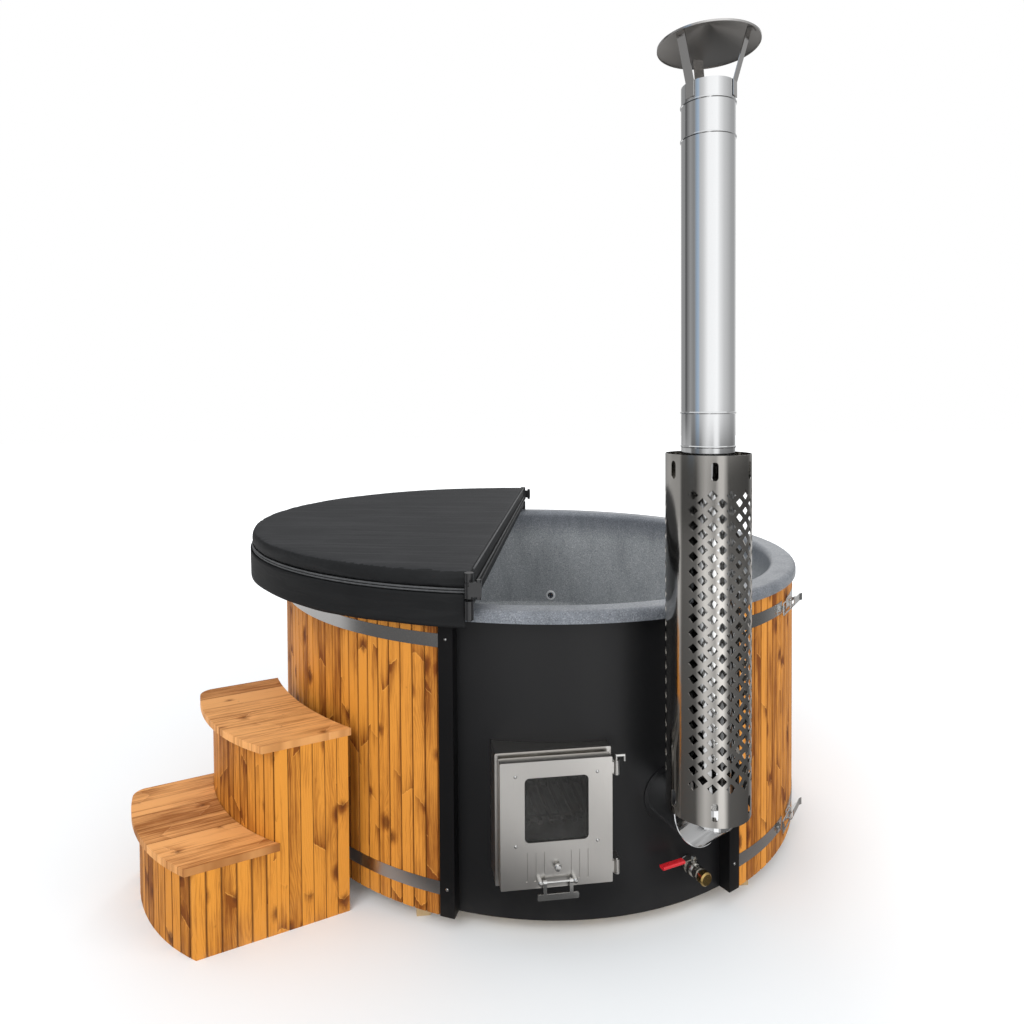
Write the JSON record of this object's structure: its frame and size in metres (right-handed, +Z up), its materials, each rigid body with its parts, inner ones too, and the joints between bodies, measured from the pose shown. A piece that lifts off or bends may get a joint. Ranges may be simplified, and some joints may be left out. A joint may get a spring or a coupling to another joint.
{
  "type": "wood-fired hot tub",
  "caption": "Round wood-clad hot tub with built-in stove, guarded chimney, folding insulated cover, drain valve, toggle-latched hoops and a curved step stair.",
  "frame": {"origin": "centre of the tub on the ground, at the underside of its ground bearers", "axes": "+Z up, -Y out through the middle of the front panel, +X to the right seen from the front"},
  "size_m": [2.4553, 2.3192, 2.5542],
  "materials": {
    "cladding_wood": "oiled",
    "tread_wood": "oiled",
    "frame_wood": "sawn",
    "liner_shell": "satin",
    "black_steel": "satin",
    "stainless_brushed": "brushed",
    "stainless_polished": "polished",
    "chimney_steel": "mirror",
    "raw_iron": "rough",
    "window_glass": "clear",
    "gasket_cord": "woven",
    "nickel_brass": "satin",
    "brass": "machined",
    "red_vinyl": "gloss",
    "pipe_plastic": "matte",
    "fitting_white": "gloss",
    "fitting_grey": "matte",
    "cover_fabric": "woven vinyl",
    "black_plastic": "semi-gloss"
  },
  "bodies": {
    "tub": {"ground_bearers": "frame_wood", "deck_planks": "frame_wood", "nailing_rings": "frame_wood", "frame_posts": "frame_wood", "liner_joists": "frame_wood", "liner": "liner_shell", "cladding_left": "cladding_wood", "cladding_right": "cladding_wood", "front_panel": "black_steel", "panel_trims": "black_steel", "trim_rivets": "stainless_polished", "hoops": "stainless_brushed", "latch_plates": "stainless_polished", "latch_lugs": "stainless_polished", "furnace_body": "stainless_brushed", "fire_grate": "raw_iron", "furnace_runners": "raw_iron", "circulation_pipes": "stainless_brushed", "door_collar": "stainless_brushed", "hinge_pin": "stainless_polished", "flue_flange": "black_steel", "flue_elbow": "chimney_steel", "chimney_lower": "chimney_steel", "chimney_upper": "chimney_steel", "chimney_collar": "chimney_steel", "chimney_guard": "chimney_steel", "rain_cap": "chimney_steel", "cap_straps": "stainless_brushed", "drain_grate": "stainless_polished", "drain_pipe": "pipe_plastic", "valve_body": "nickel_brass", "wall_fitting": "fitting_white", "wall_grille": "fitting_grey", "stair_frame": "frame_wood", "stair_sides": "cladding_wood", "stair_risers": "cladding_wood", "stair_treads": "tread_wood"},
    "cover_base": {"cover_lower": "cover_fabric", "cover_skirt": "cover_fabric", "fold_welt": "cover_fabric", "fold_brackets_lower": "black_plastic"},
    "cover_flap": {"cover_upper": "cover_fabric", "fold_brackets_upper": "black_plastic"},
    "door": {"door_pan": "stainless_brushed", "door_glass": "window_glass", "door_gasket": "gasket_cord", "glass_frame": "stainless_brushed", "door_screws": "stainless_polished", "handle_mount": "stainless_polished"},
    "damper": {"damper_slide": "stainless_brushed", "damper_knob": "stainless_polished"},
    "handle": {"door_handle": "stainless_polished"},
    "valve": {"valve_ball": "stainless_polished", "valve_lever": "nickel_brass", "lever_sleeve": "red_vinyl"},
    "drain_plug": {"drain_cap": "brass"},
    "latch_upper": {"latch_lever_upper": "stainless_polished"},
    "latch_lower": {"latch_lever_lower": "stainless_polished"},
    "bail_upper": {"latch_bail_upper": "stainless_polished"},
    "bail_lower": {"latch_bail_lower": "stainless_polished"}
  },
  "joints": [
    {"name": "cover_lift", "type": "slide", "parent": "tub", "child": "cover_base", "axis": [0, 0, 1], "range_m": [0, 0.25]},
    {"name": "cover_fold", "type": "hinge", "parent": "cover_base", "child": "cover_flap", "pos_m": [-0.097, 0.026, 1.0186], "axis": [0.2571, 0.9664, 0], "range_deg": [0, 180]},
    {"name": "furnace_door", "type": "hinge", "parent": "tub", "child": "door", "pos_m": [0.03, -1.02, 0.38], "axis": [0, 0, 1], "range_deg": [0, 110]},
    {"name": "damper_slide", "type": "slide", "parent": "door", "child": "damper", "axis": [1, 0, 0], "range_m": [-0.009, 0.009]},
    {"name": "handle_lift", "type": "hinge", "parent": "door", "child": "handle", "pos_m": [-0.147, -1.052, 0.225], "axis": [-1, 0, 0], "range_deg": [0, 80]},
    {"name": "valve_turn", "type": "hinge", "parent": "tub", "child": "valve", "pos_m": [0.2843, -0.95978, 0.19], "axis": [0, 0, 1], "range_deg": [0, 90]},
    {"name": "drain_cap_off", "type": "slide", "parent": "tub", "child": "drain_plug", "axis": [0.284, -0.9588, 0], "range_m": [0, 0.03]},
    {"name": "latch_upper_lever", "type": "hinge", "parent": "tub", "child": "latch_upper", "pos_m": [0.75528, -0.67423, 0.858], "axis": [0, 0, -1], "range_deg": [0, 100]},
    {"name": "latch_upper_bail", "type": "hinge", "parent": "latch_upper", "child": "bail_upper", "pos_m": [0.76415, -0.66472, 0.858], "axis": [0, 0, -1], "range_deg": [-100, 0]},
    {"name": "latch_lower_lever", "type": "hinge", "parent": "tub", "child": "latch_lower", "pos_m": [0.75528, -0.67423, 0.127], "axis": [0, 0, -1], "range_deg": [0, 100]},
    {"name": "latch_lower_bail", "type": "hinge", "parent": "latch_lower", "child": "bail_lower", "pos_m": [0.76415, -0.66472, 0.127], "axis": [0, 0, -1], "range_deg": [-100, 0]}
  ],
  "couplings": [
    {"joint": "latch_upper_bail", "follows": "latch_upper_lever", "ratio": -1},
    {"joint": "latch_lower_bail", "follows": "latch_lower_lever", "ratio": -1}
  ]
}
